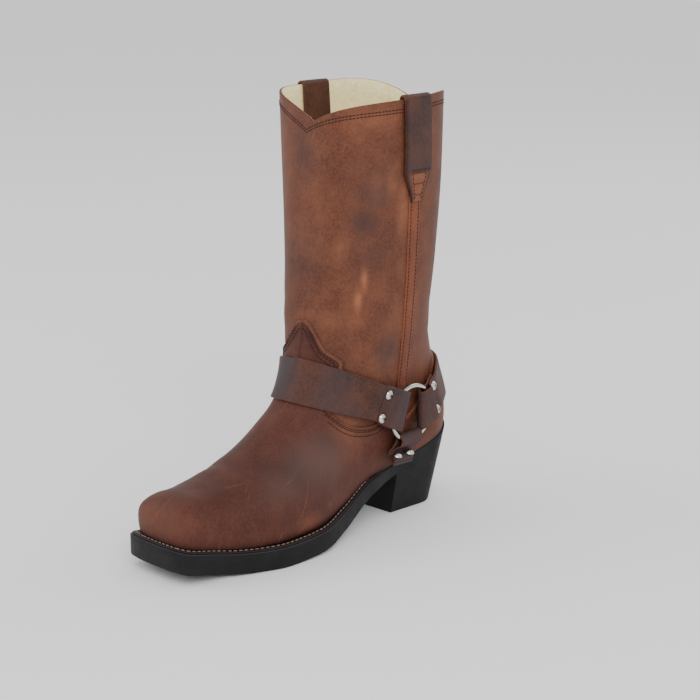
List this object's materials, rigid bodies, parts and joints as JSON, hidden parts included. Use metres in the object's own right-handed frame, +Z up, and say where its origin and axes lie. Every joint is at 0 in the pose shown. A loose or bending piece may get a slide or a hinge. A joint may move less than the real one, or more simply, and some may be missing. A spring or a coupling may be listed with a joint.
{
  "type": "harness boot",
  "caption": "Left pull-on harness boot in distressed brown leather: squared toe, underslung block heel, leather straps on nickel rings, pull straps at a scalloped collar.",
  "frame": {"origin": "middle of the heel's resting face, on the floor", "axes": "+Z up, toe towards -Y, outer side of the foot towards +X"},
  "size_m": [0.1317, 0.306, 0.3567],
  "materials": {
    "upper_leather": "oiled, distressed brown, satin",
    "strap_leather": "oiled, dark grey-brown, satin",
    "sole_rubber": "black, semi-matt",
    "welt": "black-brown, semi-matt",
    "insole_board": "natural, matt",
    "nickel": "polished nickel plate"
  },
  "bodies": {
    "root": {"outsole": "sole_rubber", "welt": "welt", "insole": "insole_board", "heel": "sole_rubber", "upper": "upper_leather", "side_strip_left": "upper_leather", "pull_strap_left": "strap_leather", "side_strip_right": "upper_leather", "pull_strap_right": "strap_leather", "instep_strap": "strap_leather", "heel_strap": "strap_leather", "sole_strap_left": "strap_leather", "ring_left": "nickel", "sole_strap_right": "strap_leather", "ring_right": "nickel", "rivet_instep_left_1": "nickel", "rivet_instep_left_2": "nickel", "rivet_instep_right_1": "nickel", "rivet_instep_right_2": "nickel", "rivet_heel_left_1": "nickel", "rivet_heel_left_2": "nickel", "rivet_heel_right_1": "nickel", "rivet_heel_right_2": "nickel", "rivet_sole_left_1": "nickel", "rivet_sole_left_2": "nickel", "rivet_sole_right_1": "nickel", "rivet_sole_right_2": "nickel"}
  },
  "joints": []
}
